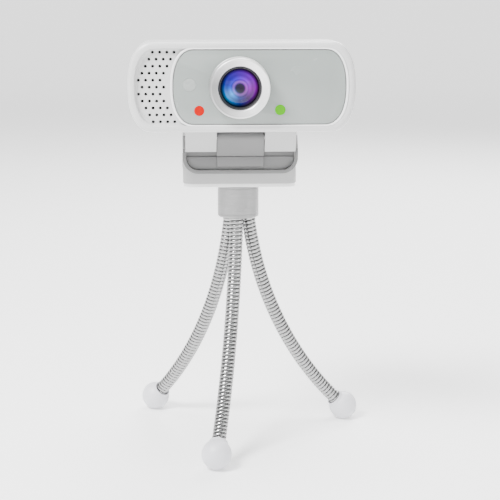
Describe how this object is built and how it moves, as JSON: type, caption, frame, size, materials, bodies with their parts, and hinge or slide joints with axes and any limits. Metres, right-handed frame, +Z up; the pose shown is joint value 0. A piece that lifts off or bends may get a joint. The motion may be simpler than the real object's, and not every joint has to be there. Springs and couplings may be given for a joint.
{
  "type": "webcam on tripod",
  "caption": "Rounded bar-shaped webcam with side-set lens, folding monitor clip and a mini tripod with flexible metal-hose legs and ball feet.",
  "frame": {"origin": "middle of the whole object's footprint, on the surface it stands on", "axes": "+Z up, the lens looks along -Y, +X is to the right seen from the front"},
  "size_m": [0.1062, 0.1026, 0.1844],
  "materials": {
    "shell_white": "satin white moulded plastic",
    "trim_white": "glossy white plastic",
    "panel_grey": "glossy light grey window",
    "black_plastic": "matt black",
    "lens_glass": "coated glass",
    "filter_glass": "coated glass",
    "sensor": "semi-gloss",
    "board_green": "solder mask",
    "steel": "bright steel",
    "ring_silver": "satin turned",
    "red_lamp": "translucent lit",
    "green_lamp": "translucent lit",
    "clear_window": "translucent",
    "gland_white": "satin",
    "clip_white": "satin moulded plastic",
    "inlay_grey": "satin",
    "pad_grey": "matt soft pad",
    "sleeve_grey": "satin",
    "ballast_steel": "rolled",
    "brass": "turned",
    "collar_silver": "satin turned",
    "hose_chrome": "bright wound hose",
    "foot_white": "satin rubber"
  },
  "bodies": {
    "tripod": {"collar": "collar_silver", "tripod_stud": "steel", "stud_washer": "pad_grey"},
    "base": {"base_shell": "clip_white", "base_pad": "pad_grey", "base_floor": "trim_white", "ballast_plate": "ballast_steel", "thread_insert": "brass", "base_screws": "steel", "hinge_pin": "steel", "hinge_caps": "trim_white"},
    "clip": {"clip_frame": "clip_white", "hinge_sleeve": "sleeve_grey", "lip_inlay": "inlay_grey", "lip_pad": "pad_grey", "arm_pad": "pad_grey"},
    "bracket": {"tilt_bracket": "clip_white", "tilt_pin": "steel", "swivel_washer": "steel", "swivel_screw": "steel"},
    "head": {"front_shell": "shell_white", "rear_shell": "shell_white", "panel_rim": "trim_white", "front_panel": "panel_grey", "ring_seal": "black_plastic", "lens_barrel": "black_plastic", "front_lens": "lens_glass", "inner_lens": "lens_glass", "rear_lens": "lens_glass", "ir_filter": "filter_glass", "image_sensor": "sensor", "main_board": "board_green", "board_chips": "black_plastic", "microphone": "steel", "mic_felt": "black_plastic", "red_lamp": "red_lamp", "green_lamp": "green_lamp", "light_window": "clear_window", "shell_screws": "steel", "cable_gland": "gland_white"},
    "focus": {"focus_ring": "ring_silver"},
    "leg_front_upper": {"hose_upper_front": "hose_chrome"},
    "leg_front_lower": {"hose_lower_front": "hose_chrome", "foot_front": "foot_white"},
    "leg_right_upper": {"hose_upper_right": "hose_chrome"},
    "leg_right_lower": {"hose_lower_right": "hose_chrome", "foot_right": "foot_white"},
    "leg_left_upper": {"hose_upper_left": "hose_chrome"},
    "leg_left_lower": {"hose_lower_left": "hose_chrome", "foot_left": "foot_white"}
  },
  "joints": [
    {"name": "base_turn", "type": "hinge", "parent": "tripod", "child": "base", "pos_m": [-0.00507, 0.00821, 0.1194], "axis": [0, 0, 1], "range_deg": [-90, 90]},
    {"name": "clip_open", "type": "hinge", "parent": "base", "child": "clip", "pos_m": [-0.00507, 0.03551, 0.1254], "axis": [-1, 0, 0], "range_deg": [0, 110]},
    {"name": "head_tilt", "type": "hinge", "parent": "clip", "child": "bracket", "pos_m": [-0.00507, -0.02119, 0.1426], "axis": [1, 0, 0], "range_deg": [-5, 60]},
    {"name": "head_swivel", "type": "hinge", "parent": "bracket", "child": "head", "pos_m": [-0.00507, -0.02119, 0.1486], "axis": [0, 0, 1], "range_deg": [-30, 30]},
    {"name": "focus_turn", "type": "hinge", "parent": "head", "child": "focus", "pos_m": [-0.00617, -0.04319, 0.1654], "axis": [0, -1, 0], "range_deg": [-135, 135]},
    {"name": "leg_front_splay", "type": "hinge", "parent": "tripod", "child": "leg_front_upper", "pos_m": [-0.00634, 0.00237, 0.09509], "axis": [-0.977, 0.213, 0], "range_deg": [-15, 20], "deforming": ["hose_upper_front"]},
    {"name": "leg_front_bend", "type": "hinge", "parent": "leg_front_upper", "child": "leg_front_lower", "pos_m": [-0.01007, -0.01473, 0.04555], "axis": [-0.977, 0.213, 0], "range_deg": [-22, 25], "deforming": ["hose_lower_front"]},
    {"name": "leg_right_splay", "type": "hinge", "parent": "tripod", "child": "leg_right_upper", "pos_m": [0.00062, 0.01003, 0.09509], "axis": [0.304, -0.9527, 0], "range_deg": [-15, 20], "deforming": ["hose_upper_right"]},
    {"name": "leg_right_bend", "type": "hinge", "parent": "leg_right_upper", "child": "leg_right_lower", "pos_m": [0.0173, 0.01535, 0.04555], "axis": [0.304, -0.9527, 0], "range_deg": [-22, 25], "deforming": ["hose_lower_right"]},
    {"name": "leg_left_splay", "type": "hinge", "parent": "tripod", "child": "leg_left_upper", "pos_m": [-0.00949, 0.01223, 0.09509], "axis": [0.673, 0.7396, 0], "range_deg": [-15, 20], "deforming": ["hose_upper_left"]},
    {"name": "leg_left_bend", "type": "hinge", "parent": "leg_left_upper", "child": "leg_left_lower", "pos_m": [-0.02244, 0.02401, 0.04555], "axis": [0.673, 0.7396, 0], "range_deg": [-22, 25], "deforming": ["hose_lower_left"]}
  ]
}
